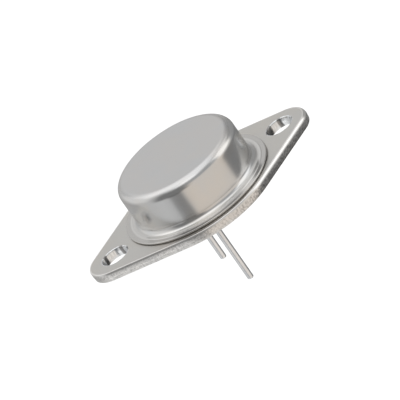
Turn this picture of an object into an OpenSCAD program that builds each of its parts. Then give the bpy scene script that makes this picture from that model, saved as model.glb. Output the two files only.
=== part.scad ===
// Power transistor in a two-lead steel case with a rhombic mounting flange.
// Origin: centre of the flange's underside, which is the seat. +X runs along the
// flange through both screw holes, +Z points up through the cap, and the leads
// point down. All sizes are in millimetres.

/* [Header flange] */
// Distance between the centres of the two screw holes
hole_spacing = 30.15; // [29.5:0.05:31]
// Length over the two rounded ends
flange_length = 38.8; // [38:0.1:40.4]
// Width across the two broad sides
flange_width = 25.2; // [24.8:0.1:27]
// Radius of each rounded end
end_r = 4.1; // [3.6:0.1:4.8]
// Thickness of the plate
flange_t = 1.5; // [1.3:0.1:3]
// Diameter of each screw hole
screw_hole_d = 4.1; // [3.6:0.1:4.4]
// Break along both edges of each screw hole
hole_break = 0.1; // [0.05:0.05:0.2]
// Roll-over that blanking leaves along the top edge
top_edge_r = 0.25; // [0.1:0.05:0.25]
// Tumbled break along the bottom edge
bottom_edge_r = 0.1; // [0.05:0.05:0.25]

/* [Cap] */
// Height of the closed case above the seat
case_h = 8.35; // [7.5:0.05:9.5]
// Outer diameter of the drawn side wall
cap_d = 19.4; // [18.6:0.1:19.8]
// Thickness of the drawn sheet
sheet_t = 0.35; // [0.25:0.05:0.45]
// Outer radius between the side wall and the top
crown_r = 1.35; // [0.8:0.05:2]
// Outer radius between the side wall and the brim
foot_r = 0.6; // [0.3:0.05:0.7]
// Width of the brim, out from the side wall
brim_w = 2.05; // [1.8:0.05:2.4]
// Rounding of the brim's trimmed edge
brim_edge_r = 0.12; // [0.05:0.01:0.15]
// Width of the ring that the welding electrode pressed into the brim's rim
coined_w = 0.8; // [0.5:0.05:1.1]
// Depth of that ring
coined_depth = 0.06; // [0.02:0.01:0.1]
// Depth of the crevice under the brim, from the brim's edge in to the weld
crevice_w = 0.85; // [0.6:0.05:1]
// Width of the weld
weld_w = 0.5; // [0.3:0.05:0.6]
// Height of the weld, which is the crevice's height
weld_h = 0.1; // [0.06:0.01:0.3]

/* [Leads] */
// Diameter of each lead below the seat
lead_d = 0.97; // [0.9:0.01:1.1]
// Length of each lead below the seat
lead_length = 12; // [9:0.1:16]
// Distance between the two leads
lead_spacing = 10.92; // [10.6:0.02:11.3]
// Distance from the flange's centre to the line through the leads
lead_offset = 1.6; // [1.5:0.05:2.1]
// Rounding of each lead's cut tip
tip_r = 0.2; // [0.1:0.05:0.4]
// Plating on the stretch below the seat, on the radius
plating_t = 0.01; // [0.005:0.005:0.02]
// Height of each lead's post above the flange
post_h = 2.2; // [1.8:0.1:3]
// Diameter of the nail head on each post
head_d = 1.6; // [1.3:0.1:2]
// Thickness of the nail head
head_t = 0.4; // [0.3:0.05:0.6]

/* [Glass seals] */
// Diameter of the eyelet that each glass bead fills
seal_d = 3.2; // [2.6:0.1:3.6]
// How far the glass stays inside the plate at both faces
seal_recess = 0.08; // [0.04:0.01:0.15]
// Depth of the hollow ring that the molten glass left between lead and eyelet
meniscus_depth = 0.25; // [0.1:0.05:0.35]

/* [Chip mount] */
// Length of the copper heat spreader, along X
spreader_l = 9.6; // [7:0.1:11]
// Width of the copper heat spreader, along Y
spreader_w = 6.6; // [5.6:0.1:7]
// Thickness of the copper heat spreader
spreader_t = 1; // [0.6:0.1:1.5]
// Corner radius of the copper heat spreader
spreader_r = 0.8; // [0.4:0.1:1.5]
// Thickness of the braze under the spreader
braze_t = 0.06; // [0.03:0.01:0.1]
// How far the braze runs out past the spreader
braze_margin = 0.15; // [0.05:0.05:0.3]

/* [Chip] */
// Side of the square silicon chip
die_w = 3.6; // [3:0.1:4]
// Thickness of the silicon chip
die_t = 0.28; // [0.2:0.01:0.4]
// Thickness of the solder under the chip
solder_t = 0.05; // [0.03:0.01:0.1]
// How far the solder runs out past the chip
solder_margin = 0.12; // [0.05:0.01:0.2]
// Thickness of the aluminium film on the chip
film_t = 0.03; // [0.02:0.01:0.05]
// Bare silicon rim around the film
film_rim = 0.2; // [0.15:0.05:0.4]
// Number of emitter fingers
emitter_fingers = 5; // [3:1:6]
// Width of the bar along each comb, which the wires are bonded to
film_bar = 0.7; // [0.6:0.05:0.9]
// Clearance between the two combs of film
film_gap = 0.1; // [0.06:0.01:0.15]

/* [Bond wires] */
// Diameter of each aluminium bond wire
wire_d = 0.38; // [0.25:0.01:0.45]
// Distance between the two wires of the emitter lead
wire_pitch = 0.7; // [0.5:0.05:0.8]
// Place of the wires' feet along the chip's combs, from the middle towards +X
bond_x = -0.3; // [-0.7:0.05:0.7]
// Radius of the bend at each foot
foot_bend_r = 0.4; // [0.3:0.05:0.6]
// Radius of the bend over the top of each loop
loop_bend_r = 0.6; // [0.4:0.05:0.8]
// Slope of each wire's two straight runs, in degrees
wire_slope = 50; // [35:1:60]
// Length of each flat bonded foot
foot_l = 0.55; // [0.4:0.05:0.7]

/* [Chip coating] */
// Bare rim of the spreader beside the silicone drop that covers the chip
coating_margin = 0.1; // [0.05:0.05:0.2]
// Height of the drop above the spreader
coating_h = 1.3; // [1.1:0.05:1.6]

/* [Hidden] */
$fn = 96;

// Flange outline: two broad arcs about the centre, an arc about each end centre,
// and a straight edge tangent to both at each of the four corners.
side_r = flange_width / 2;
end_x = flange_length / 2 - end_r;
tangent_a = acos((side_r - end_r) / end_x);
edge_l = end_x * sin(tangent_a);
// The straight edges lie this far inside the common tangent, so that they meet
// the arcs in a clean crossing
tangent_inset = 0.003;
// Flat middle of the plate: an octagon half an end radius inside the outline
core_inset = end_r / 2;
core_side = (side_r - core_inset) * [cos(tangent_a), sin(tangent_a)];
core_end = [end_x, 0] + (end_r - core_inset) * [cos(tangent_a), sin(tangent_a)];

// Heights, from the seat upwards
spreader_z = flange_t + braze_t;
spreader_top = spreader_z + spreader_t;
die_z = spreader_top + solder_t;
film_z = die_z + die_t;
bond_z = film_z + film_t;
head_top = flange_t + post_h;

// Cap
cap_r = cap_d / 2;
brim_r = cap_r + brim_w;
brim_z = flange_t + weld_h;
brim_top = brim_z + sheet_t;
coined_top = brim_top - coined_depth;
brim_round = min(brim_edge_r, 0.45 * (coined_top - brim_z));

// Leads
lead_y = lead_spacing / 2;
bare_lead_r = lead_d / 2 - plating_t;
seal_r = seal_d / 2;

// Film on the chip: the emitter's bar is on the -Y side and the base's on the +Y
// side, and their fingers lie between each other.
film_w = die_w - 2 * film_rim;
finger_l = film_w - 2 * film_bar;
finger_pitch = film_w / (2 * emitter_fingers + 1);
bar_y = film_w / 2 - film_bar / 2;

// Bond wires: a foot's axis lies this far above the surface that it is bonded to
foot_axis = 0.35 * wire_d;

// Overlap that joins two solids of one piece, and reach of a cut past its wall
tiny = 0.01;
past = 1;

// ---------------------------------------------------------------- header flange

// Section of the plate's edge, from distance n0 to distance n1, rounded at n1
module plate_section(n0, n1) {
    translate([n0, 0])
        square([n1 - top_edge_r - n0, flange_t]);
    translate([n0, bottom_edge_r])
        square([n1 - n0, flange_t - top_edge_r - bottom_edge_r]);
    translate([n0, 0])
        square([n1 - bottom_edge_r - n0, bottom_edge_r + tiny]);
    translate([n1 - top_edge_r, flange_t - top_edge_r])
        circle(top_edge_r);
    translate([n1 - bottom_edge_r, bottom_edge_r])
        circle(bottom_edge_r);
}

// Round plate of radius r, with the rounded edge all round
module round_plate(r) {
    rotate_extrude()
        plate_section(0, r);
}

// Straight edge along the common tangent, from the broad side to the end
module plate_edge() {
    rotate([0, 0, tangent_a])
        rotate([90, 0, 0])
            linear_extrude(edge_l)
                plate_section(side_r - end_r, side_r - tangent_inset);
}

module plate_blank() {
    round_plate(side_r);
    for (a = [0, 180])
        rotate([0, 0, a]) {
            translate([end_x, 0, 0])
                round_plate(end_r);
            for (m = [0, 1])
                mirror([0, m, 0])
                    plate_edge();
        }
    linear_extrude(flange_t)
        for (m = [0, 1])
            mirror([m, 0, 0])
                polygon([[0, -core_side[1]], [core_side[0], -core_side[1]],
                         [core_end[0], -core_end[1]], core_end,
                         core_side, [0, core_side[1]]]);
}

module screw_hole() {
    wide_d = screw_hole_d + 2 * (hole_break + past);
    translate([0, 0, -past])
        cylinder(d = screw_hole_d, h = flange_t + 2 * past);
    translate([0, 0, -past])
        cylinder(d1 = wide_d, d2 = screw_hole_d, h = hole_break + past);
    translate([0, 0, flange_t - hole_break])
        cylinder(d1 = screw_hole_d, d2 = wide_d, h = hole_break + past);
}

module header_flange() {
    color("#b9b7b2")
        difference() {
            plate_blank();
            for (s = [-1, 1]) {
                translate([s * hole_spacing / 2, 0, 0])
                    screw_hole();
                translate([-lead_offset, s * lead_y, -past])
                    cylinder(d = seal_d, h = flange_t + 2 * past);
            }
        }
}

// -------------------------------------------------------------------------- cap

// Outside of the drawn cap as a half section, with the brim
module cap_outside() {
    translate([0, brim_z])
        square([cap_r, case_h - crown_r - brim_z]);
    translate([0, brim_z])
        square([cap_r - crown_r, case_h - brim_z]);
    translate([cap_r - crown_r, case_h - crown_r])
        circle(crown_r);
    difference() {
        translate([0, brim_top - tiny])
            square([cap_r + foot_r, foot_r + tiny]);
        translate([cap_r + foot_r, brim_top + foot_r])
            circle(foot_r);
    }
    translate([0, brim_z])
        square([brim_r - coined_w, sheet_t]);
    translate([0, brim_z])
        square([brim_r - brim_round, coined_top - brim_z]);
    translate([0, brim_z + brim_round])
        square([brim_r, coined_top - brim_z - 2 * brim_round]);
    for (z = [brim_z + brim_round, coined_top - brim_round])
        translate([brim_r - brim_round, z])
            circle(brim_round);
}

// Hollow of the cap as a half section: one sheet thickness inside the outside
module cap_hollow() {
    inner_r = cap_r - sheet_t;
    corner_r = crown_r - sheet_t;
    low = flange_t - past;
    translate([0, low])
        square([inner_r, case_h - crown_r - low]);
    translate([0, low])
        square([inner_r - corner_r, case_h - sheet_t - low]);
    translate([inner_r - corner_r, case_h - crown_r])
        circle(corner_r);
    difference() {
        translate([0, low])
            square([cap_r + foot_r, brim_top + foot_r - low]);
        translate([cap_r + foot_r, brim_top + foot_r])
            circle(foot_r + sheet_t);
    }
}

module cap() {
    color("#c4c3bf")
        rotate_extrude() {
            difference() {
                cap_outside();
                cap_hollow();
            }
            translate([brim_r - crevice_w - weld_w, flange_t])
                square([weld_w, weld_h + tiny]);
        }
}

// ------------------------------------------------------------- leads and seals

// One lead, straight through its seal, with a nail head for the bond wires
module lead(side) {
    translate([-lead_offset, side * lead_y, 0])
        rotate_extrude() {
            translate([0, -lead_length])
                square([lead_d / 2 - tip_r, lead_length]);
            translate([0, -lead_length + tip_r])
                square([lead_d / 2, lead_length - tip_r]);
            intersection() {
                translate([lead_d / 2 - tip_r, -lead_length + tip_r])
                    circle(tip_r);
                translate([0, -lead_length])
                    square([lead_d, lead_length]);
            }
            square([bare_lead_r, head_top - tiny]);
            translate([0, head_top - head_t])
                square([head_d / 2, head_t]);
        }
}

module base_lead() {
    color("#c9c8c4") lead(1);
}

module emitter_lead() {
    color("#c9c8c4") lead(-1);
}

// One glass bead, hollowed by its meniscus at both faces
module seal(side) {
    mid_r = (bare_lead_r + seal_r) / 2;
    half_w = (seal_r - bare_lead_r) / 2;
    hollow_r = (half_w * half_w + meniscus_depth * meniscus_depth)
        / (2 * meniscus_depth);
    reach = hollow_r - meniscus_depth;
    translate([-lead_offset, side * lead_y, 0])
        rotate_extrude()
            difference() {
                translate([bare_lead_r, seal_recess])
                    square([seal_r - bare_lead_r, flange_t - 2 * seal_recess]);
                translate([mid_r, seal_recess - reach])
                    circle(hollow_r);
                translate([mid_r, flange_t - seal_recess + reach])
                    circle(hollow_r);
            }
}

module base_seal() {
    color("#4a5a52") seal(1);
}

module emitter_seal() {
    color("#4a5a52") seal(-1);
}

// ------------------------------------------------------------------- chip mount

// Plate of size x by y by t with corners of radius r, centred on Z
module rounded_plate(x, y, t, r) {
    linear_extrude(t) {
        square([x - 2 * r, y], center = true);
        square([x, y - 2 * r], center = true);
        for (sx = [-1, 1], sy = [-1, 1])
            translate([sx * (x / 2 - r), sy * (y / 2 - r)])
                circle(r);
    }
}

module spreader_braze() {
    color("#d8d3c4")
        translate([0, 0, flange_t])
            rounded_plate(spreader_l + 2 * braze_margin,
                          spreader_w + 2 * braze_margin,
                          braze_t, spreader_r + braze_margin);
}

module heat_spreader() {
    color("#b87348")
        translate([0, 0, spreader_z])
            rounded_plate(spreader_l, spreader_w, spreader_t, spreader_r);
}

module die_solder() {
    solder_w = die_w + 2 * solder_margin;
    color("#8f9296")
        translate([0, 0, spreader_top])
            rounded_plate(solder_w, solder_w, solder_t, solder_margin);
}

// ------------------------------------------------------------------------- chip

module silicon_die() {
    color("#5b6069")
        translate([0, 0, die_z + die_t / 2])
            cube([die_w, die_w, die_t], center = true);
}

// Bar of film along one side of the chip, with fingers at the given places
module film_comb(side, places) {
    finger_w = finger_pitch - film_gap;
    translate([0, 0, film_z])
        linear_extrude(film_t) {
            translate([0, side * bar_y])
                square([film_w, film_bar], center = true);
            for (i = places)
                translate([i * finger_pitch, side * film_gap / 2])
                    square([finger_w, finger_l - film_gap + tiny], center = true);
        }
}

module emitter_film() {
    color("#d9dade")
        film_comb(-1, [for (i = [0 : emitter_fingers - 1])
                       2 * i - emitter_fingers + 1]);
}

module base_film() {
    color("#d9dade")
        film_comb(1, [for (i = [0 : emitter_fingers]) 2 * i - emitter_fingers]);
}

// ------------------------------------------------------------------- bond wires

// Piece of wire bent about the Y axis: it starts at the origin along +X and
// turns by angle a with radius r, up when a is positive.
module wire_bend(r, a) {
    up = a > 0 ? 1 : -1;
    translate([0, 0, up * r])
        rotate([90, 0, 0])
            rotate([0, 0, up > 0 ? -90 : 90 + a])
                rotate_extrude(angle = abs(a))
                    translate([r, 0])
                        circle(d = wire_d);
}

module wire_run(l) {
    rotate([0, 90, 0])
        cylinder(d = wire_d, h = l);
}

// Moves on from the end of a bend to the start of the next piece
module after_bend(r, a) {
    up = a > 0 ? 1 : -1;
    translate([r * sin(abs(a)), 0, up * r * (1 - cos(a))])
        rotate([0, -a, 0])
            children();
}

// Wire in the XZ plane, from a foot on the film to a foot on the nail head. The
// two straight runs are as long as the span and the rise between the feet ask.
module wire_loop(span, rise) {
    across = span - 2 * (foot_bend_r + loop_bend_r) * sin(wire_slope);
    run_sum = across / cos(wire_slope);
    run_diff = rise / sin(wire_slope);
    up_l = (run_sum + run_diff) / 2;
    down_l = (run_sum - run_diff) / 2;
    translate([-foot_l, 0, 0])
        wire_run(foot_l);
    wire_bend(foot_bend_r, wire_slope);
    after_bend(foot_bend_r, wire_slope) {
        wire_run(up_l);
        translate([up_l, 0, 0]) {
            wire_bend(loop_bend_r, -2 * wire_slope);
            after_bend(loop_bend_r, -2 * wire_slope) {
                wire_run(down_l);
                translate([down_l, 0, 0]) {
                    wire_bend(foot_bend_r, wire_slope);
                    after_bend(foot_bend_r, wire_slope)
                        wire_run(foot_l);
                }
            }
        }
    }
}

// Block of side w under the point at, which leaves a foot flat where it is bonded
module bonded_below(at, w) {
    translate(at)
        mirror([0, 0, 1])
            translate([-w / 2, -w / 2, 0])
                cube(w);
}

// Bond wire from the comb on one side of the chip to the lead on the same side,
// set off by shift along X at both feet
module bond_wire(side, shift) {
    on_film = [bond_x + shift, side * (bar_y - film_bar / 2 + foot_l), bond_z];
    on_head = [shift - lead_offset, side * (lead_y - head_d / 4), head_top];
    reach = on_head - on_film;
    span = norm([reach[0], reach[1]]);
    difference() {
        translate(on_film + [0, 0, foot_axis])
            rotate([0, 0, atan2(reach[1], reach[0])])
                wire_loop(span, reach[2]);
        bonded_below(on_film, 4 * foot_l);
        bonded_below(on_head, 4 * foot_l);
    }
}

module base_wire() {
    color("#e2e2e4") bond_wire(1, 0);
}

module emitter_wire_1() {
    color("#e2e2e4") bond_wire(-1, -wire_pitch / 2);
}

module emitter_wire_2() {
    color("#e2e2e4") bond_wire(-1, wire_pitch / 2);
}

// ---------------------------------------------------------------- chip coating

module chip_coating() {
    edge = spreader_w / 2 - coating_margin;
    drop_r = (edge * edge + coating_h * coating_h) / (2 * coating_h);
    color("#e9e6dc", 0.6)
        difference() {
            translate([0, 0, spreader_top])
                rotate_extrude()
                    intersection() {
                        translate([0, coating_h - drop_r])
                            circle(drop_r);
                        square([edge, coating_h]);
                    }
            die_solder();
            silicon_die();
            emitter_film();
            base_film();
            base_wire();
            emitter_wire_1();
            emitter_wire_2();
        }
}

header_flange();
cap();
base_lead();
emitter_lead();
base_seal();
emitter_seal();
spreader_braze();
heat_spreader();
die_solder();
silicon_die();
emitter_film();
base_film();
base_wire();
emitter_wire_1();
emitter_wire_2();
chip_coating();
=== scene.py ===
# %% [markdown]
# # A power transistor in a round steel can
#
# This lesson dresses a packed CAD model of a power transistor: a rhombic steel
# flange with a screw hole at each end, a drawn steel can welded on it by its brim,
# two leads in glass beads, and the chip on its copper plate inside. The CAD bodies
# are the frame. They say where everything is, and nothing here moves them.

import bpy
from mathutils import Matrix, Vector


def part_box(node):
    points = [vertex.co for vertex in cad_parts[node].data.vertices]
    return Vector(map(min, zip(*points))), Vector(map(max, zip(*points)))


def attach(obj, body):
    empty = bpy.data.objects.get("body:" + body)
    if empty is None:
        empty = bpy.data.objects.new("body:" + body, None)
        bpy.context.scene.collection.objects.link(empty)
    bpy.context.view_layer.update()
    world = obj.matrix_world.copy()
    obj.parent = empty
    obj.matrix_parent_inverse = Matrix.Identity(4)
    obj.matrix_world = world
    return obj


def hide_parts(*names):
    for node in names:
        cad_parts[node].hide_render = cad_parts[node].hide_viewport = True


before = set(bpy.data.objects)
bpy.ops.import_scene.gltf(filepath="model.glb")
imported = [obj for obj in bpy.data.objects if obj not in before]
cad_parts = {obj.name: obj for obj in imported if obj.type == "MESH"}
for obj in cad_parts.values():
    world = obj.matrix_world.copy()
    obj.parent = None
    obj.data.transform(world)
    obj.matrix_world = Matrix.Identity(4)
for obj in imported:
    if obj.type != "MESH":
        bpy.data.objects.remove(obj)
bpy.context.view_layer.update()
print("CAD nodes:", ", ".join(sorted(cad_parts)))

# %% Modules and units
import math

import bmesh
import bpy
from mathutils import Matrix, Vector
from mathutils.geometry import delaunay_2d_cdt

MM = 0.001
print("Blender", bpy.app.version_string)

# %% [markdown]
# ## Measures
#
# A maker works from the drawing's dimensions. They could be typed in again, but
# then a change in the CAD model would leave the looks behind, so each outer size is
# read from the box of its CAD node, and only the fine ones are written here.

# %% Measures of the flange, the can and the leads
def box_mm(node):
    """The lowest and the highest corner of a CAD node, in millimetres."""
    low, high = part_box(node)
    return low / MM, high / MM


flange_high = box_mm("header_flange")[1]
cap_high = box_mm("cap")[1]
lead_low, lead_high = box_mm("base_lead")
seal_low, seal_high = box_mm("base_seal")

FLANGE_T = flange_high.z
FLANGE_SIDE_R = flange_high.y
FLANGE_END_R = 4.1
FLANGE_END_X = flange_high.x - FLANGE_END_R
HOLE_SPACING = 30.15
HOLE_X = HOLE_SPACING / 2
HOLE_R = 2.05
CASE_H = cap_high.z
BRIM_R = cap_high.x
BRIM_W = 2.05
WALL_R = BRIM_R - BRIM_W
SHEET_T = 0.35
CROWN_R = 1.35
FOOT_R = 0.8
LEAD_X = (lead_low.x + lead_high.x) / 2
LEAD_Y = (lead_low.y + lead_high.y) / 2
LEAD_END = lead_low.z
HEAD_TOP = lead_high.z
SEAL_R = (seal_high.x - seal_low.x) / 2
print(f"flange {2 * flange_high.x:.1f} x {2 * FLANGE_SIDE_R:.1f} x {FLANGE_T:.1f} mm, "
      f"can {2 * WALL_R:.1f} mm across and {CASE_H:.2f} mm high")

# %% [markdown]
# ## Shader maths as plain Python
#
# Metal looks real when its roughness and its relief change from place to place. In
# the shader editor that is a net of Math nodes. Here one small class wraps a socket
# and overloads the operators, so that `1 - mask * 0.5` adds the nodes by itself.
# The same class builds the Geometry Nodes tree further down. All nodes come from its
# method `node`, so one look at a call shows a node's type, settings and inputs.

# %% A socket that can be calculated with
class Value:
    """An output socket in a node tree, used like a number or a vector."""

    def __init__(self, tree, socket=None):
        """Without a socket it is a blank start, for the first node of a tree."""
        self.tree = tree
        self.socket = socket

    def node(self, kind, settings=None, inputs=None, out=0):
        """Adds a node: first its settings, then a value or a link for each socket."""
        made = self.tree.nodes.new(kind)
        for name, setting in (settings or {}).items():
            setattr(made, name, setting)
        for key, value in (inputs or {}).items():
            if isinstance(value, Value):
                self.tree.links.new(value.socket, made.inputs[key])
            else:
                made.inputs[key].default_value = value
        return Value(self.tree, made.outputs[out]) if made.outputs else None

    def output(self, key):
        """Another output of the same node."""
        return Value(self.tree, self.socket.node.outputs[key])

    def math(self, operation, *others):
        """A Math node of this value and others."""
        return self.node("ShaderNodeMath", {"operation": operation},
                         dict(enumerate((self, *others))))

    def reverse(self, operation, other):
        """A Math node of another value and this one."""
        return self.node("ShaderNodeMath", {"operation": operation}, {0: other, 1: self})

    def __add__(self, other):
        return self.math("ADD", other)

    __radd__ = __add__

    def __sub__(self, other):
        return self.math("SUBTRACT", other)

    def __rsub__(self, other):
        return self.reverse("SUBTRACT", other)

    def __mul__(self, other):
        return self.math("MULTIPLY", other)

    __rmul__ = __mul__

    def __truediv__(self, other):
        return self.math("DIVIDE", other)

    def __rtruediv__(self, other):
        return self.reverse("DIVIDE", other)

    def rise(self, start, end):
        """Goes smoothly from 0 to 1 while this value goes from start to end."""
        return self.node("ShaderNodeMapRange", {"interpolation_type": "SMOOTHSTEP"},
                         {"Value": self, "From Min": start, "From Max": end})

    def between(self, low, high):
        """A colour from low, where this value is 0, to high, where it is 1.

        A Mix node has sockets for every kind of data: 6, 7 and output 2 are colours.
        """
        return self.node("ShaderNodeMix", {"data_type": "RGBA"},
                         {0: self, 6: low, 7: high}, 2)

    def scaled(self, x, y, z):
        """This vector with each part multiplied by its own number."""
        return self.node("ShaderNodeVectorMath", {"operation": "MULTIPLY"},
                         {0: self, 1: (x, y, z)})

    def noise(self, size, detail=2.0):
        """Noise from 0 to 1 at this place, with blots of about the given size."""
        return self.node("ShaderNodeTexNoise", {},
                         {"Vector": self, "Scale": 1 / size, "Detail": detail})


print("a value knows:", ", ".join(name for name in vars(Value) if name.isalpha()))


# %% A new finish
class Finish:
    """A material with its shader and, in millimetres, the place on the piece."""

    def __init__(self, name, **constants):
        self.material = bpy.data.materials.new(name)
        self.material.use_nodes = True
        tree = self.material.node_tree
        self.shader = tree.nodes["Principled BSDF"]
        self.place = Value(tree).node("ShaderNodeTexCoord", out="Object").scaled(
            1 / MM, 1 / MM, 1 / MM)
        parts = self.place.node("ShaderNodeSeparateXYZ", {}, {"Vector": self.place})
        self.x = parts
        self.z = parts.output("Z")
        self.set(**constants)

    def set(self, **sockets):
        """Sets the shader's sockets, with _ for each space: a number or a Value."""
        for name, value in sockets.items():
            socket = self.shader.inputs[name.replace("_", " ")]
            if isinstance(value, Value):
                self.material.node_tree.links.new(value.socket, socket)
            else:
                socket.default_value = value

    def relief(self, height):
        """Bump from a height in millimetres."""
        self.set(Normal=self.place.node("ShaderNodeBump", {}, {
            "Strength": 1.0, "Distance": MM, "Height": height}))

    def describe(self):
        """Prints how many nodes the finish has."""
        print(f"{self.material.name}: {len(self.material.node_tree.nodes)} nodes")


print("a finish knows:", ", ".join(name for name in vars(Finish) if name.isalpha()))

# %% [markdown]
# ## Nickel plating
#
# The can, the flange and the leads are steel with a thin nickel plate. Nickel is a
# slightly warm grey metal. One flat colour with one roughness would look like
# plastic foil, because plating copies what is under it: the drawn wall is nearly a
# mirror, the top keeps the satin of the rolled sheet, the brim keeps the fine rings
# of the tool that dressed it, and the sheared edges keep the lines of the punch. So
# each place gets its own roughness and relief, and the colour mostly drifts a little
# between a warm and a cool grey. A paler ring on the brim is a painted highlight,
# and darker pits on the flange's edge and dark bands in its screw holes are painted
# shade.
#
# A mask says where a finish lies: `rise` turns a height or a radius into a number
# from 0 to 1, and `between` uses that number to pass from one colour to another.
# Each named pair below says where such a mask begins and where it is full. In a
# relief, the number beside a pattern is its height in millimetres.

# %% Two greys of nickel
WARM_NICKEL = (0.740, 0.718, 0.688, 1)
COOL_NICKEL = (0.710, 0.712, 0.710, 1)


def nickel_colour(place, size, warm=WARM_NICKEL, cool=COOL_NICKEL):
    """Nickel that drifts between two greys over blots of the given size."""
    return place.noise(size, 3.0).rise(0.35, 0.65).between(warm, cool)


print("nickel drifts from", WARM_NICKEL[:3], "to", COOL_NICKEL[:3])


# %% Where the can is satin, coined, or turned and painted with a highlight
CROWN_BEND = WALL_R - 1.5, WALL_R
SATIN_TOP = CASE_H - 1.2, CASE_H - 0.9
ABOVE_FOOT = FLANGE_T + 0.7, FLANGE_T + 1.3
TURNED_AND_HIGHLIT_RING = WALL_R + 0.2, WALL_R + 0.5
COINED_RING = BRIM_R - 0.85, BRIM_R - 0.75

can = Finish("can_nickel", Metallic=1.0)
radius = can.place.node("ShaderNodeVectorMath", {"operation": "LENGTH"},
                        {0: can.place.scaled(1, 1, 0)}, "Value")
on_top = (1 - radius.rise(*CROWN_BEND)) * can.z.rise(*SATIN_TOP)
low_down = 1 - can.z.rise(*ABOVE_FOOT)
turned_and_highlit = low_down * radius.rise(*TURNED_AND_HIGHLIT_RING)
pressed = low_down * radius.rise(*COINED_RING)
can.describe()

# %% Nickel on the can
SATIN_WARM, SATIN_COOL = (0.668, 0.656, 0.645, 1), (0.655, 0.655, 0.655, 1)
TURNED_DARK, TURNED_PALE = (0.745, 0.733, 0.713, 1), (0.835, 0.823, 0.803, 1)
COINED_GREY = (0.660, 0.645, 0.625, 1)

smear = can.place.noise(1.6, 4.0)
grain = can.place.noise(0.05, 2.0)
streaks = can.place.scaled(1, 1, 0.06).noise(0.35, 3.0)
section = radius.node("ShaderNodeCombineXYZ", {}, {"X": radius, "Z": can.z})
rings = section.noise(0.16, 3.0)
# The ring of the brim next to the wall is painted paler than the nickel round it. This is
# a painted highlight, with the tool's rings drawn in it.
turned = rings.rise(0.35, 0.65).between(TURNED_DARK, TURNED_PALE)
shade = turned_and_highlit.between(nickel_colour(can.place, 5.0), turned)
shade = on_top.between(shade, nickel_colour(can.place, 5.0, SATIN_WARM, SATIN_COOL))
can.set(
    Base_Color=pressed.between(shade, COINED_GREY),
    Roughness=0.15 + 0.04 * smear + 0.06 * streaks + 0.21 * on_top,
)
can.relief(grain * 0.0008 * on_top + streaks * 0.0006 * (1 - on_top)
           + rings * 0.005 * low_down)
can.describe()

# %% Nickel on the flat faces of the flange
PLATE_WARM, PLATE_COOL = (0.676, 0.653, 0.614, 1), (0.660, 0.648, 0.624, 1)

plate = Finish("flange_nickel", Metallic=1.0)
plate.set(
    Base_Color=nickel_colour(plate.place, 6.0, PLATE_WARM, PLATE_COOL),
    Roughness=0.30 + 0.1 * plate.place.noise(2.5, 4.0),
)
plate.relief(plate.place.noise(0.06, 2.0) * 0.0008)
plate.describe()

# %% [markdown]
# ## Sheared edges
#
# A punch leaves three bands on a steel edge, one under the other: a rolled-over
# corner, a sheared band with upright lines, and a torn band that leans inwards. In
# the screw holes the punch rubs harder, so their walls are brighter, and a few dark
# upright bands of painted shade lie on them. The shapes come later. The two finishes
# here add the lines, the pits and the painted dark bands. They could be painted on an
# unwrapped edge, but masks that read the height need no unwrapping, and keep their
# scale when the flange is made longer. Towards +X the edge is smoother and more
# pitted, and its pits are painted darker there as painted shade.

# %% Where the edge lies towards +X, is sheared or torn
TOWARDS_RIGHT = -3, 7
SHEAR_LINE = FLANGE_T - 0.3, FLANGE_T - 0.18
TEAR_LINE = 0.3, 0.55

edge = Finish("sheared_nickel", Metallic=1.0)
plus_x_share = edge.x.rise(*TOWARDS_RIGHT)
sheared = 1 - (edge.z + 0.16 * plus_x_share).rise(*SHEAR_LINE)
torn = 1 - (edge.z + (edge.place.noise(1.0) - 0.5) * 0.7).rise(*TEAR_LINE)
edge.describe()

# %% Nickel on the sheared edge
EDGE_WARM, EDGE_COOL = (0.920, 0.900, 0.870, 1), (0.860, 0.850, 0.830, 1)
PIT_PALE, PIT_PAINTED_SHADE = (0.520, 0.508, 0.490, 1), (0.340, 0.333, 0.323, 1)

lines = edge.place.scaled(1, 1, 0.12).noise(0.12, 3.0)
# Pits grow denser towards +X, and their colour turns darker there. This is painted shade
# on the right-hand edge.
pitting = edge.place.scaled(1, 1, 0.5).noise(0.18, 4.0) + 0.07 * plus_x_share
pits = pitting.rise(0.38, 0.78) * sheared
edge.set(
    Base_Color=pits.between(nickel_colour(edge.place, 3.0, EDGE_WARM, EDGE_COOL),
                            plus_x_share.between(PIT_PALE, PIT_PAINTED_SHADE)),
    Roughness=0.29 + 0.09 * (lines - 1) * sheared + 0.13 * torn - 0.08 * plus_x_share,
)
edge.relief((lines * 0.015 + edge.place.noise(0.14) * torn * 0.022) * sheared
            * (1 - 0.4 * plus_x_share))
edge.describe()

# %% Nickel in the screw holes
BREAK_LINE = 0.35, 0.55
SCORED_DARK, SCORED_PALE = (0.800, 0.815, 0.825, 1), (0.960, 0.975, 0.985, 1)
PAINTED_SHADE_GREY = (0.330, 0.325, 0.320, 1)

bore = Finish("punched_nickel", Metallic=1.0)
upright = bore.place.scaled(1, 1, 0.05)
scores = upright.noise(0.14, 3.0)
# A few dark upright bands on the hole walls are painted shade.
painted_shade_bands = upright.noise(1.1, 1.0).rise(0.52, 0.6)
broken = 1 - (bore.z + (bore.place.noise(0.8) - 0.5) * 0.5).rise(*BREAK_LINE)
scored = scores.rise(0.35, 0.65).between(SCORED_DARK, SCORED_PALE)
bore.set(Base_Color=painted_shade_bands.between(scored, PAINTED_SHADE_GREY),
         Roughness=0.10 + 0.12 * scores + 0.15 * broken)
bore.relief(scores * 0.006 + bore.place.noise(0.12) * broken * 0.01)
bore.describe()

# %% [markdown]
# ## Drawn wire
#
# The leads are cut from wire that was pulled through a die, which leaves fine lines
# along it. Noise squeezed to a fiftieth along Z draws such lines, because a
# pattern that is stretched one way looks drawn that way.

# %% Nickel on the leads
LEAD_PALE, LEAD_GREY = (0.960, 0.965, 0.970, 1), (0.900, 0.910, 0.920, 1)

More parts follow.
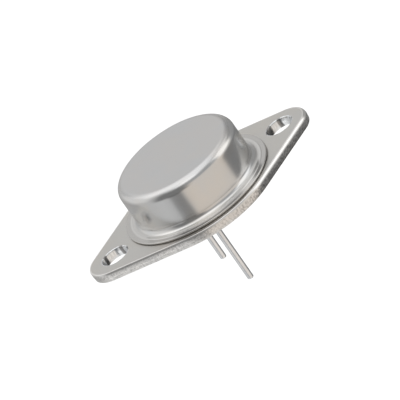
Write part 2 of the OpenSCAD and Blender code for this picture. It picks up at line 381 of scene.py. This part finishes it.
wire = Finish("lead_nickel", Metallic=1.0)
drawn = wire.place.scaled(1, 1, 0.02).noise(0.12, 3.0)
wire.set(
    Base_Color=nickel_colour(wire.place.scaled(1, 1, 0.3), 1.0, LEAD_PALE, LEAD_GREY),
    Roughness=0.22 + 0.2 * drawn,
)
wire.relief(drawn * 0.004)
wire.describe()

# %% [markdown]
# ## Sealing glass
#
# Each lead is held and insulated by a bead of dark green-grey glass, melted in its
# eyelet. It is glossy, almost opaque at this thickness, and holds a few bubbles.
# Real refraction would cost much and show nothing, so dark colour, gloss and low
# bumps from a cell pattern stand for the depth and the bubbles.

# %% Glass
GLASS_DARK, GLASS_PALE = (0.020, 0.032, 0.028, 1), (0.075, 0.100, 0.088, 1)
BUBBLE_EDGE = 0.1, 0.2

glass = Finish("sealing_glass", Metallic=0.0, Roughness=0.06, IOR=1.52)
bubbles = glass.place.node("ShaderNodeTexVoronoi", {},
                           {"Vector": glass.place, "Scale": 3.5}, "Distance")
bubble = 1 - bubbles.rise(*BUBBLE_EDGE)
cloud = bubble * 0.5 + glass.place.noise(0.7) * 0.5
glass.set(Base_Color=cloud.between(GLASS_DARK, GLASS_PALE))
glass.relief(bubble * 0.01)
glass.describe()

# %% [markdown]
# ## Finishes inside the can
#
# Nobody sees the chip unless the can is sawn open, but someone may do just that
# with this model, so the inner pieces are finished too: rolled copper, braze,
# solder, silicon, aluminium film and wire, and a drop of milky silicone. Their CAD
# shapes are right already, so they stay and only get new materials.

# %% Copper
copper = Finish("rolled_copper", Metallic=1.0)
rolled = copper.place.scaled(0.05, 1, 1).noise(0.15, 3.0)
copper.set(
    Base_Color=copper.place.noise(1.5, 3.0).between(
        (0.80, 0.36, 0.21, 1), (0.66, 0.30, 0.19, 1)),
    Roughness=0.28 + 0.16 * rolled,
)
copper.relief(rolled * 0.003)
copper.describe()

# %% Braze and solder
braze = Finish("silver_braze", Metallic=1.0)
braze.set(
    Base_Color=braze.place.noise(0.6).between((0.80, 0.76, 0.66, 1),
                                              (0.70, 0.62, 0.50, 1)),
    Roughness=0.25 + 0.25 * braze.place.noise(0.3),
)
braze.relief(braze.place.noise(0.25) * 0.01)

solder = Finish("die_solder", Metallic=1.0)
frosted = solder.place.noise(0.12, 4.0)
solder.set(Base_Color=frosted.between((0.42, 0.43, 0.45, 1), (0.58, 0.58, 0.58, 1)),
           Roughness=0.35 + 0.2 * frosted)
solder.relief(frosted * 0.006)
for finish in (braze, solder):
    finish.describe()

# %% Silicon and aluminium
silicon = Finish("silicon", Metallic=0.6)
saw = silicon.place.scaled(1, 1, 12).noise(0.3)
silicon.set(Base_Color=saw.between((0.10, 0.11, 0.14, 1), (0.16, 0.17, 0.20, 1)),
            Roughness=0.12 + 0.25 * saw)

film = Finish("aluminium_film", Metallic=1.0)
film.set(Base_Color=film.place.noise(0.4).between((0.86, 0.86, 0.88, 1),
                                                  (0.78, 0.78, 0.80, 1)),
         Roughness=0.2 + 0.15 * film.place.noise(0.05))
film.relief(film.place.noise(0.04) * 0.001)

bond = Finish("aluminium_wire", Metallic=1.0)
bond.set(Base_Color=bond.place.noise(0.5).between((0.84, 0.84, 0.85, 1),
                                                  (0.74, 0.74, 0.76, 1)),
         Roughness=0.24 + 0.18 * bond.place.noise(0.1))
bond.relief(bond.place.noise(0.06) * 0.003)
for finish in (silicon, film, bond):
    finish.describe()

# %% Silicone
silicone = Finish("milky_silicone", Metallic=0.0, IOR=1.41)
cloudy = silicone.place.noise(0.8, 3.0)
silicone.set(Base_Color=cloudy.between((0.78, 0.77, 0.72, 1), (0.88, 0.88, 0.85, 1)),
             Roughness=0.12 + 0.1 * cloudy, Alpha=0.55 + 0.25 * cloudy)
silicone.relief(silicone.place.noise(1.5) * 0.02)
silicone.describe()

# %% Dress the inner CAD nodes
INNER = {
    "heat_spreader": copper, "spreader_braze": braze, "die_solder": solder,
    "silicon_die": silicon, "emitter_film": film, "base_film": film,
    "base_wire": bond, "emitter_wire_1": bond, "emitter_wire_2": bond,
    "chip_coating": silicone,
}
for node, finish in INNER.items():
    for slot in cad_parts[node].material_slots:
        slot.material = finish.material
print("inner nodes dressed:", len(INNER))

# %% [markdown]
# ## Turned pieces
#
# The can, the leads and the glass beads are all round, so each follows one rule: a
# half section turned about its axis. Blender's Screw modifier or Spin tool could do
# it. A Geometry Nodes tree is chosen because one tree serves every round piece, and
# because it can add the slight ripple of drawn sheet in the same step. The tree
# lays a grid, bends it round the axis along the profile, and closes its seam. The
# ripple only pushes into the metal, so a piece never grows past its drawing.

# %% A tree with named inputs
turn = bpy.data.node_groups.new("turn a profile", "GeometryNodeTree")
turn.interface.new_socket("Profile", in_out="INPUT", socket_type="NodeSocketGeometry")
for name, kind in (("Segments", "Int"), ("Ripple", "Float"),
                   ("Ripple size", "Float"), ("Finish", "Material")):
    turn.interface.new_socket(name, in_out="INPUT", socket_type="NodeSocket" + kind)
turn.interface.new_socket("Piece", in_out="OUTPUT", socket_type="NodeSocketGeometry")
inputs = {item.name: item.identifier for item in turn.interface.items_tree
          if item.in_out == "INPUT"}
print("the tree's inputs and their identifiers:", inputs)

# %% Bend a grid round the axis
SEAM = 1e-4

given = Value(turn).node("NodeGroupInput")
segments = given.output("Segments")
around = segments.node("FunctionNodeIntegerMath", {"operation": "ADD"},
                       {0: segments, 1: 1})
along_it = given.node("GeometryNodeAttributeDomainSize", {}, {0: given})
grid = given.node("GeometryNodeMeshGrid", {},
                  {"Vertices X": along_it, "Vertices Y": around})
index = given.node("GeometryNodeInputIndex")
row = index.node("FunctionNodeIntegerMath", {"operation": "DIVIDE_FLOOR"},
                 {0: index, 1: around})
column = index - row * around
profile_point = given.node(
    "GeometryNodeSampleIndex", {"data_type": "FLOAT_VECTOR"},
    {0: given, 1: given.node("GeometryNodeInputPosition"), 2: row})
parts = profile_point.node("ShaderNodeSeparateXYZ", {}, {"Vector": profile_point})
angle = column / segments * math.tau
place = parts.node("ShaderNodeCombineXYZ", {}, {
    "X": parts * angle.math("COSINE"),
    "Y": parts * angle.math("SINE"),
    "Z": parts.output("Z")})
bent = grid.node("GeometryNodeSetPosition", {}, {"Geometry": grid, "Position": place})
closed = bent.node("GeometryNodeMergeByDistance", {},
                   {"Geometry": bent, "Distance": SEAM * MM})
print("nodes that bend the grid:", len(turn.nodes))

# %% Ripple, finish and result
spot = given.node("GeometryNodeInputPosition")
swell = spot.node("ShaderNodeTexNoise", {}, {
    "Vector": spot, "Scale": 1 / given.output("Ripple size"), "Detail": 1.0})
outward = given.node("GeometryNodeInputNormal")
push = outward.node("ShaderNodeVectorMath", {"operation": "SCALE"}, {
    0: outward, "Scale": (swell - 1) * given.output("Ripple")})
rippled = closed.node("GeometryNodeSetPosition", {}, {"Geometry": closed, "Offset": push})
real = rippled.node("GeometryNodeRealizeInstances", {}, {"Geometry": rippled})
coated = real.node("GeometryNodeSetMaterial", {},
                   {"Geometry": real, "Material": given.output("Finish")})
coated.node("NodeGroupOutput", {}, {"Piece": coated})
print("nodes in the whole tree:", len(turn.nodes))

# %% [markdown]
# ## Half sections
#
# A half section is a row of points from straight runs and arcs, as on a drawing for
# the lathe. A short strip is kept at both ends of a straight run: smooth shading
# blends across the faces next to a bend, and a narrow strip keeps that blend narrow,
# so that a flat part stays flat.

# %% Profiles from straight runs and arcs
SAME_PLACE = 1e-5


def run(start, end, step=0.7, hold=0.06):
    """Points of a straight run. A short strip at both ends holds the shading flat."""
    start, end = Vector(start), Vector(end)
    length = (end - start).length
    if length <= 3 * hold:
        return [start, end]
    count = max(1, round((length - 2 * hold) / step))
    inner = [hold + (length - 2 * hold) * i / count for i in range(count + 1)]
    return [start + (end - start) * (d / length) for d in [0, *inner, length]]


def arc(centre, r, start, end, steps=8):
    """Points of an arc about centre, with its angles in degrees."""
    angles = [math.radians(start + (end - start) * i / steps) for i in range(steps + 1)]
    return [Vector((centre[0] + r * math.cos(a), centre[1] + r * math.sin(a)))
            for a in angles]


def profile(*pieces):
    """One row of points from runs and arcs, with no point twice."""
    row = []
    for piece in pieces:
        for point in piece:
            if not row or (point - row[-1]).length > SAME_PLACE:
                row.append(point)
    return row


print("points of a plain quarter arc:", len(arc((0, 0), 1, 0, 90)))


# %% [markdown]
# ## From a mesh to a piece
#
# The tree runs as a modifier on a mesh that holds only the profile's points. Its
# inputs are set by the identifiers of their sockets, since a name may occur twice.
# Then the evaluated result is copied to a plain mesh, and the holder goes, together
# with its modifier: what is left is simple, and any export reads it.
#
# Each piece hides the CAD node it stands for, and it is measured. A volume above
# zero says that the faces point outwards, and no open edge says that it is closed.

# %% Shade a mesh and dress a CAD node
def smooth(mesh, angle=35):
    """Shades the mesh smoothly, and leaves edges sharper than angle crisp."""
    mesh.shade_smooth()
    mesh.set_sharp_from_angle(angle=math.radians(angle))


def dressed(name, mesh, node):
    """Makes the mesh a piece that stands for a CAD node, and measures it."""
    piece = bpy.data.objects.new(name, mesh)
    bpy.context.scene.collection.objects.link(piece)
    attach(piece, "root")
    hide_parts(node)
    shell = bmesh.new()
    shell.from_mesh(mesh)
    volume = shell.calc_volume(signed=True) / MM ** 3
    open_edges = sum(not line.is_manifold for line in shell.edges)
    shell.free()
    print(f"{name}: {len(mesh.vertices)} points, {len(mesh.polygons)} faces, "
          f"{volume:.2f} cubic mm, {open_edges} open edges")


print("every piece rides on root and stands for one CAD node")


# %% A mesh from the turning tree
def turned_mesh(name, row, segments, finish, ripple=0.0, ripple_size=2.0, at=(0, 0)):
    """Turns a profile in millimetres about an upright axis at the given place."""
    points = bpy.data.meshes.new(name + "_profile")
    points.from_pydata([(p.x * MM, 0, p.y * MM) for p in row], [], [])
    holder = bpy.data.objects.new(name + "_profile", points)
    bpy.context.scene.collection.objects.link(holder)
    modifier = holder.modifiers.new("turn", "NODES")
    modifier.node_group = turn
    modifier[inputs["Segments"]] = segments
    modifier[inputs["Ripple"]] = ripple * MM
    modifier[inputs["Ripple size"]] = ripple_size * MM
    modifier[inputs["Finish"]] = finish.material
    graph = bpy.context.evaluated_depsgraph_get()
    mesh = bpy.data.meshes.new_from_object(holder.evaluated_get(graph))
    bpy.data.objects.remove(holder)
    mesh.name = name
    mesh.transform(Matrix.Translation((at[0] * MM, at[1] * MM, 0)))
    smooth(mesh)
    return mesh


print("the tree's result is made a plain mesh, and its holder is removed")


# %% [markdown]
# ## The can
#
# A can like this is deep-drawn from 0.35 mm sheet: a round crown, a straight wall,
# a bend of 0.8 mm at the foot and a flat brim. The welding electrode coins a ring
# along the brim's rim, a little lower than the rest, and the weld itself is a thin
# ridge under the brim, which leaves a dark crevice all round. The wall isn't quite
# true, so it gets a ripple of about a hundredth of a millimetre: that is what bends
# the reflections in a real drawn can.
#
# The half section could be drawn with a curve and traced. Runs and arcs are chosen,
# because then each bend is a named radius and the sheet has the same thickness all
# along.

# %% Heights and radii of the brim
WELD_H = 0.1
WELD_W = 1.0
CREVICE_W = 0.35
COINED_W = 0.8
COINED_DEPTH = 0.06
STEP_R = 0.04
BRIM_EDGE_R = 0.12

BRIM_Z = FLANGE_T + WELD_H
BRIM_TOP = BRIM_Z + SHEET_T
COINED_TOP = BRIM_TOP - COINED_DEPTH
COINED_R = BRIM_R - COINED_W
WELD_OUT = BRIM_R - CREVICE_W
WELD_IN = WELD_OUT - WELD_W
print(f"brim from {BRIM_Z:.2f} to {BRIM_TOP:.2f} mm, its coined ring {COINED_TOP:.2f} mm")

# %% Half section of the can
INNER_R = WALL_R - SHEET_T
TOP_R = WALL_R - CROWN_R
CROWN_Z = CASE_H - CROWN_R
FOOT_X = WALL_R + FOOT_R
FOOT_Z = BRIM_TOP + FOOT_R
UNDER_R = FOOT_R + SHEET_T
WELD_TURN = math.degrees(math.acos((FOOT_X - WELD_IN) / UNDER_R))
RIM_X = BRIM_R - BRIM_EDGE_R

can_profile = profile(
    run((0, CASE_H), (TOP_R, CASE_H), step=1.2),
    arc((TOP_R, CROWN_Z), CROWN_R, 90, 0, 20),
    run((WALL_R, CROWN_Z), (WALL_R, FOOT_Z)),
    arc((FOOT_X, FOOT_Z), FOOT_R, 180, 270, 20),
    run((FOOT_X, BRIM_TOP), (COINED_R - STEP_R, BRIM_TOP)),
    arc((COINED_R - STEP_R, BRIM_TOP - STEP_R), STEP_R, 90, 20, 4),
    arc((COINED_R + STEP_R, COINED_TOP + STEP_R), STEP_R, 210, 270, 4),
    run((COINED_R + STEP_R, COINED_TOP), (RIM_X, COINED_TOP)),
    arc((RIM_X, COINED_TOP - BRIM_EDGE_R), BRIM_EDGE_R, 90, 0, 6),
    arc((RIM_X, BRIM_Z + BRIM_EDGE_R), BRIM_EDGE_R, 0, -90, 6),
    run((RIM_X, BRIM_Z), (WELD_OUT, BRIM_Z)),
    run((WELD_OUT, BRIM_Z), (WELD_OUT, FLANGE_T)),
    run((WELD_OUT, FLANGE_T), (WELD_IN, FLANGE_T)),
    arc((FOOT_X, FOOT_Z), UNDER_R, 180 + WELD_TURN, 180, 16),
    run((INNER_R, FOOT_Z), (INNER_R, CROWN_Z), step=3),
    arc((TOP_R, CROWN_Z), CROWN_R - SHEET_T, 0, 90, 12),
    run((TOP_R, CASE_H - SHEET_T), (0, CASE_H - SHEET_T), step=3),
)
print("points of the can's half section:", len(can_profile))

# %% Turn the can
CAN_SEGMENTS = 256
can_mesh = turned_mesh("can", can_profile, CAN_SEGMENTS, can,
                       ripple=0.02, ripple_size=3.0)
dressed("can", can_mesh, "cap")

# %% [markdown]
# ## Leads and glass beads
#
# A lead is a straight length of nickel-iron wire with a rounded tip below and a
# nail head above, where the bond wires land. Its glass bead fills the eyelet and
# has a hollow ring at both faces, because molten glass climbs the metal. Both pairs
# are alike, so one half section of each is turned twice, at two places.

# %% Half section of a lead
LEAD_R = 0.485
TIP_R = 0.2
BARE_R = 0.475
HEAD_R = (lead_high.x - lead_low.x) / 2
HEAD_T = 0.4

lead_profile = profile(
    run((0, HEAD_TOP), (HEAD_R, HEAD_TOP)),
    run((HEAD_R, HEAD_TOP), (HEAD_R, HEAD_TOP - HEAD_T)),
    run((HEAD_R, HEAD_TOP - HEAD_T), (BARE_R, HEAD_TOP - HEAD_T)),
    run((BARE_R, HEAD_TOP - HEAD_T), (BARE_R, 0), step=0.8),
    run((BARE_R, 0), (LEAD_R, 0)),
    run((LEAD_R, 0), (LEAD_R, LEAD_END + TIP_R), step=0.8),
    arc((LEAD_R - TIP_R, LEAD_END + TIP_R), TIP_R, 0, -90, 8),
    run((LEAD_R - TIP_R, LEAD_END), (0, LEAD_END)),
)
print(f"lead {2 * LEAD_R:.2f} mm thick, {-LEAD_END:.1f} mm below the seat")

# %% Half section of a bead
SEAL_RECESS = seal_low.z
MENISCUS = 0.25

half_w = (SEAL_R - BARE_R) / 2
hollow_r = (half_w ** 2 + MENISCUS ** 2) / (2 * MENISCUS)
swing = math.degrees(math.asin(half_w / hollow_r))
reach = hollow_r - MENISCUS
mid_r = (SEAL_R + BARE_R) / 2
bead_top = FLANGE_T - SEAL_RECESS
bead_profile = profile(
    arc((mid_r, bead_top + reach), hollow_r, 270 - swing, 270 + swing, 16),
    run((SEAL_R, bead_top), (SEAL_R, SEAL_RECESS)),
    arc((mid_r, SEAL_RECESS - reach), hollow_r, 90 - swing, 90 + swing, 16),
    run((BARE_R, SEAL_RECESS), (BARE_R, bead_top)),
)
print(f"bead {2 * SEAL_R:.2f} mm across, hollowed {MENISCUS} mm deep")

# %% Turn both leads and both beads
ROUND_SEGMENTS = 64
for node, side in (("base", 1), ("emitter", -1)):
    at = (LEAD_X, side * LEAD_Y)
    lead_mesh = turned_mesh(node + "_pin", lead_profile, ROUND_SEGMENTS, wire,
                            ripple=0.01, ripple_size=1.5, at=at)
    dressed(node + "_pin", lead_mesh, node + "_lead")
    bead_mesh = turned_mesh(node + "_bead", bead_profile, ROUND_SEGMENTS, glass, at=at)
    dressed(node + "_bead", bead_mesh, node + "_seal")

# %% [markdown]
# ## The flange
#
# The flange is stamped from 1.5 mm steel. Its outline follows a rule: an arc at each
# end, a broad arc at each side, and straight edges tangent to both. Each point of
# such an outline is a centre plus a radius in some direction, so an inset outline is
# the same rule with a smaller radius, and rings of insets make the edge as a punch
# leaves it: rolled over above, upright in the middle, leaning in below. The punch
# sat a little off centre, so the roll-over is wider towards +X. The screw holes are
# made of rings too, and flare towards the underside.
#
# Cutting holes in a block with a boolean would be quicker, but it leaves long thin
# faces that shade badly. Rings joined by quads keep the rounded edges even, and a
# constrained Delaunay fill closes the flat faces round the holes.

# %% Outline of the flange
TANGENT = math.acos((FLANGE_SIDE_R - FLANGE_END_R) / FLANGE_END_X)


def outline_rule(arc_steps=48, edge_steps=24):
    """Centre, radius and direction of each point round the flange."""
    ends = [(FLANGE_END_X, FLANGE_END_R, -TANGENT, TANGENT),
            (0, FLANGE_SIDE_R, TANGENT, math.pi - TANGENT),
            (-FLANGE_END_X, FLANGE_END_R, math.pi - TANGENT, math.pi + TANGENT),
            (0, FLANGE_SIDE_R, math.pi + TANGENT, math.tau - TANGENT)]
    rule = []
    for i, (x, r, start, end) in enumerate(ends):
        rule += [(x, r, start + (end - start) * k / arc_steps)
                 for k in range(arc_steps + 1)]
        next_x, next_r = ends[(i + 1) % 4][:2]
        rule += [(x + (next_x - x) * k / edge_steps, r + (next_r - r) * k / edge_steps,
                  end) for k in range(1, edge_steps)]
    return rule


rule = outline_rule()
print("points round the flange:", len(rule))

# %% Rings of the punched edge
ROLL_W, ROLL_H = (0.14, 0.34), (0.4, 0.75)
ROLL_SPAN = 0.7
LOW_EDGE_R = 0.1
TORN_IN, TORN_H = 0.07, 0.7
STRIP_BELOW, STRIP_ABOVE = 0.3, 0.12


def quarter(steps):
    """Angles from 0 to a quarter of a turn."""
    return [math.pi / 2 * k / steps for k in range(steps + 1)]


def edge_stations(facing):
    """Insets and heights down the edge where it faces an angle, from below to above."""
    share = min(max((math.cos(facing) + ROLL_SPAN / 2) / ROLL_SPAN, 0), 1)
    roll_w, roll_h = (least + (most - least) * share for least, most in (ROLL_W, ROLL_H))
    low = [(TORN_IN + LOW_EDGE_R * (1 - math.sin(a)), LOW_EDGE_R * (1 - math.cos(a)))
           for a in quarter(5)]
    high = [(roll_w * (1 - math.cos(a)), FLANGE_T - roll_h * (1 - math.sin(a)))
            for a in quarter(10)]
    return [(STRIP_BELOW, 0.0), *low, (0.0, TORN_H), *high,
            (roll_w + STRIP_ABOVE, FLANGE_T)]


def edge_rings():
    """Closed rings of points round the edge, from below to above."""
    columns = [[(x + (r - inset) * math.cos(a), (r - inset) * math.sin(a), z)
                for inset, z in edge_stations(a)] for x, r, a in rule]
    return list(zip(*columns))


print("rings of the punched edge:", len(edge_rings()))

# %% Rings of the holes
HOLE_POINTS = 64
HOLE_BREAK = 0.14
FLARE, FLARE_H = 0.14, 0.75
HOLE_STRIP = 0.06
HOLES = ((HOLE_X, 0, HOLE_R, True), (-HOLE_X, 0, HOLE_R, True),
         (LEAD_X, LEAD_Y, SEAL_R, False), (LEAD_X, -LEAD_Y, SEAL_R, False))


def hole_stations(flared):
    """Extra radius and height of the rings down a hole's wall, from below to above."""
    if not flared:
        return [(0.0, 0.0), (0.0, FLANGE_T)]
    curve = [(HOLE_BREAK * (1 - math.sin(a)), FLANGE_T - HOLE_BREAK * (1 - math.cos(a)))
             for a in reversed(quarter(6))]
    return [(FLARE + HOLE_STRIP, 0.0), (FLARE, 0.0), (0.0, FLARE_H), *curve,
            (HOLE_BREAK + HOLE_STRIP, FLANGE_T)]


def hole_rings(x, y, r, flared):
    """Closed rings of points down a hole's wall, from below to above."""
    turns = [math.tau * k / HOLE_POINTS for k in range(HOLE_POINTS)]
    return [[(x + (r + grow) * math.cos(a), y + (r + grow) * math.sin(a), z)
             for a in turns] for grow, z in hole_stations(flared)]


print("rings of a screw hole:", len(hole_rings(*HOLES[0])))

# %% Join rings into a wall
FLAT, SHEARED, PUNCHED = range(3)


def join_rings(points, faces, rings, finish):
    """Adds a wall through rings of equal length. Returns its first and last ring."""
    numbers = []
    for ring in rings:
        numbers.append(range(len(points), len(points) + len(ring)))
        points.extend(ring)
    for lower, upper in zip(numbers, numbers[1:]):
        for k in range(len(lower)):
            n = (k + 1) % len(lower)
            quad = (lower[k], lower[n], upper[n], upper[k])
            faces.append((quad[::-1] if finish == PUNCHED else quad, finish))
    return numbers[0], numbers[-1]


tried = []
join_rings([], tried, hole_rings(*HOLES[0]), PUNCHED)
print("faces in the wall of a screw hole:", len(tried))

# %% Fill a flat face round its holes
CHORD_SHARE = 0.998


def fill_face(points, faces, loops, openings, up):
    """Adds a flat face between loops of points, but not over the round openings."""
    numbers = [i for loop in loops for i in loop]
    border = []
    for loop in loops:
        start, count = len(border), len(loop)
        border += [(start + k, start + (k + 1) % count) for k in range(count)]
    flat = [Vector(points[i][:2]) for i in numbers]
    places, _, triangles, source, *_ = delaunay_2d_cdt(flat, border, [], 1, 1e-6)
    for triangle in triangles:
        corners = [places[i] for i in triangle]
        middle = sum(corners, Vector((0, 0))) / 3
        if any((middle - centre).length < CHORD_SHARE * r for centre, r in openings):
            continue
        area = (corners[1] - corners[0]).cross(corners[2] - corners[0])
        face = [numbers[source[i][0]] for i in triangle]
        faces.append((face if (area > 0) == up else face[::-1], FLAT))


tried = []
fill_face(hole_rings(*HOLES[0])[0], tried, [range(HOLE_POINTS)], [], True)
print("triangles that would cover a screw hole:", len(tried))

# %% Build the flange
BELOW, ABOVE = 0, -1


def flange_mesh():
    """The punched edge, the walls of the four holes, and two flat faces."""
    points, faces = [], []
    loops = [join_rings(points, faces, edge_rings(), SHEARED)]
    loops += [join_rings(points, faces, hole_rings(*hole), PUNCHED) for hole in HOLES]
    for side in (BELOW, ABOVE):
        openings = [(Vector((x, y)), r + hole_stations(flared)[side][0])
                    for x, y, r, flared in HOLES]
        fill_face(points, faces, [loop[side] for loop in loops], openings, side == ABOVE)
    mesh = bpy.data.meshes.new("stamped_flange")
    mesh.from_pydata([(x * MM, y * MM, z * MM) for x, y, z in points], [],
                     [corners for corners, finish in faces])
    for finish in (plate, edge, bore):
        mesh.materials.append(finish.material)
    mesh.polygons.foreach_set("material_index", [finish for corners, finish in faces])
    smooth(mesh)
    return mesh


dressed("stamped_flange", flange_mesh(), "header_flange")

# %% [markdown]
# ## The studio
#
# Bright metal shows the room more than itself, and an all-white room would leave it
# flat. Product photographers hang paper cards round the table for this: a dark card
# draws the dark band that makes a wall look polished, and a soft box above draws
# the highlight along the crown. The cards are painted straight into the world here,
# by azimuth and elevation. Cards as real planes would work as well, but the world
# is endlessly far away, so each card lands where the drawing says, with soft edges.
# A later card covers an earlier one. Cards far below the horizon are seen only by
# the torn band of the edge and by the flared walls of the holes.

# %% The direction of each ray
world = bpy.data.worlds.new("studio")
bpy.context.scene.world = world
world.use_nodes = True
tree = world.node_tree
tree.nodes.clear()
direction = Value(tree).node("ShaderNodeTexCoord", out="Generated")
along = direction.node("ShaderNodeSeparateXYZ", {}, {"Vector": direction})
azimuth = along.output("Y").math("ARCTAN2", along) * (180 / math.pi)
elevation = along.output("Z").math("ARCSINE") * (180 / math.pi)
print("nodes that find a ray's azimuth and elevation:", len(tree.nodes))


# %% A paper card
def inside(angle, low, high, soft):
    """1 where an angle is between two others, 0 outside, with soft edges."""
    away = (angle - (low + high) / 2).math("WRAP", 180, -180).math("ABSOLUTE")
    return 1 - away.rise((high - low) / 2 - soft, (high - low) / 2 + soft)


def hang(room, where, *cards):
    """Hangs cards, each with its azimuths, elevations, colour and softness."""
    for azimuths, elevations, colour, soft in cards:
        mask = inside(azimuth, *azimuths, soft) * inside(elevation, *elevations, soft)
        room = mask.between(room, colour)
    print(f"{len(cards)} cards {where}")
    return room


def grey(level):
    """A plain grey as a colour."""
    return (level, level, level, 1)


FLOOR_PAPER, WALL_PAPER = grey(0.58), grey(0.53)
WARM_PAPER = (0.75, 0.6975, 0.645, 1)
room = elevation.rise(-20, 20).between(FLOOR_PAPER, WALL_PAPER)
print("the bare room goes from", FLOOR_PAPER[0], "below to", WALL_PAPER[0], "above")

# %% Cards round the can
room = hang(room, "behind and at the left",
            ((64, 98), (8, 46), grey(0.635), 8),
            ((90, 156), (-80, -8), grey(0.45), 5),
            ((112, 176), (4, 60), grey(0.80), 8),
            ((158, 205), (-80, 12), grey(0.61), 5))
room = hang(room, "in front",
            ((-118, -27), (-70, 18), WARM_PAPER, 2),
            ((-145, -121), (-70, -8), grey(0.28), 2),
            ((-169, -107), (-9, 46), grey(0.22), 7),
            ((-146, -119), (-21, -5), grey(0.16), 3),
            ((-112, -42), (24, 54), grey(0.42), 9))
room = hang(room, "at the right",
            ((-27, 78), (-70, -8), grey(0.24), 3),
            ((12, 62), (-14, 11), grey(0.34), 5),
            ((14, 72), (12, 34), grey(0.31), 6))

# %% Cards below and above
ALL_ROUND = (-210, 210)
room = hang(room, "far below the horizon",
            ((-178, -138), (-75, -30), grey(0.95), 3),
            ((-30, 60), (-75, -32), grey(0.05), 3),
            ((-130, -66), (-85, -43), grey(0.88), 3))
room = hang(room, "above, as soft boxes",
            (ALL_ROUND, (60, 130), grey(1.06), 9),
            ((-136, -74), (54, 88), grey(1.30), 9),
            ((50, 165), (42, 84), grey(1.20), 9),
            ((-33, 8), (7, 50), grey(1.26), 5),
            ((2, 34), (34, 56), grey(0.96), 7))

# %% What each kind of ray sees
DIFFUSE_LIGHT = grey(0.75)
ray = Value(tree).node("ShaderNodeLightPath", out="Is Camera Ray")
straight = ray.math("MAXIMUM", ray.output("Is Transmission Ray"))
light = ray.output("Is Glossy Ray").between(DIFFUSE_LIGHT, room)
backdrop = ray.node("ShaderNodeBackground", {},
                    {"Color": straight.between(light, grey(1.0))})
backdrop.node("ShaderNodeOutputWorld", {}, {"Surface": backdrop})
print("nodes in the whole room:", len(tree.nodes))

# %% [markdown]
# ## Floor and lamps
#
# The floor is a pale sheet a quarter of a metre below the part, far enough for its
# shadow to be soft. Only the camera sees it glow a little, so that it stays light,
# and from below it is see-through, so that a look from underneath isn't blocked.
# Two soft lamps light what isn't a mirror: the floor, the glass and the silicone.
# The metal doesn't see them, because it has its cards.

# %% The floor
FLOOR_Z = -250 * MM
FLOOR_HALF = 4000 * MM
FLOOR_GLOW = grey(0.34)
floor_mesh = bpy.data.meshes.new("floor")
floor_mesh.from_pydata([(x * FLOOR_HALF, y * FLOOR_HALF, FLOOR_Z) for x, y in
                        ((-1, -1), (1, -1), (1, 1), (-1, 1))], [], [(0, 1, 2, 3)])
paper = Finish("pale_floor", Roughness=0.9)
seen = paper.place.node("ShaderNodeLightPath", out="Is Camera Ray")
paper.set(Base_Color=grey(0.93), Emission_Strength=1.0,
          Emission_Color=seen.between(grey(0.0), FLOOR_GLOW),
          Alpha=1 - paper.place.node("ShaderNodeNewGeometry", out="Backfacing"))
floor_mesh.materials.append(paper.material)
floor = bpy.data.objects.new("floor", floor_mesh)
bpy.context.scene.collection.objects.link(floor)
floor.visible_glossy = False
paper.describe()


# %% Lamps
def lamp(name, azimuth, elevation, size, power, distance=400):
    """A square soft lamp that looks at the object, with its sizes in millimetres."""
    data = bpy.data.lights.new(name, "AREA")
    data.shape = "SQUARE"
    data.size = size * MM
    data.energy = power
    a, e = math.radians(azimuth), math.radians(elevation)
    made = bpy.data.objects.new(name, data)
    made.location = distance * MM * Vector((
        math.cos(a) * math.cos(e), math.sin(a) * math.cos(e), math.sin(e)))
    made.rotation_mode = "QUATERNION"
    made.rotation_quaternion = made.location.to_track_quat("Z", "Y")
    made.visible_glossy = False
    bpy.context.scene.collection.objects.link(made)
    print(f"{name}: {size} mm wide, {power} W, {distance} mm away")


lamp("top_lamp", 0, 90, 420, 0.5)
lamp("right_lamp", -12, 36, 260, 0.3)

# %% [markdown]
# ## The camera
#
# The view is a long lens from the front, a little to the left and above, rolled so
# that the can leans to the upper left. A long lens from far away keeps the flange's
# two ends at nearly the same scale, as in a catalogue picture. The matrix is built
# from the three axes of the camera, because a roll is hard to read in Euler angles.

# %% Camera
AZIMUTH, ELEVATION, ROLL = (math.radians(a) for a in (-8.16, 24.66, -34.97))
AIM = Vector((-0.43, 0.10, 0.0)) * MM
DISTANCE = 1207.3 * MM
LENS, SENSOR = 760.5, 36
back = Vector((math.sin(AZIMUTH) * math.cos(ELEVATION),
               -math.cos(AZIMUTH) * math.cos(ELEVATION), math.sin(ELEVATION)))
level = Vector((math.cos(AZIMUTH), math.sin(AZIMUTH), 0))
right = Matrix.Rotation(ROLL, 3, back) @ level
up = back.cross(right)
camera = bpy.data.objects.new("camera", bpy.data.cameras.new("camera"))
camera.data.sensor_width = SENSOR
camera.data.lens = LENS
camera.matrix_world = Matrix.Translation(AIM + back * DISTANCE) @ Matrix(
    (right, up, back)).transposed().to_4x4()
bpy.context.scene.collection.objects.link(camera)
bpy.context.scene.camera = camera
bpy.context.scene.view_settings.view_transform = "Standard"
print("camera", [round(c, 3) for c in camera.location])

# %% [markdown]
# The dressed model must stay inside the CAD box.
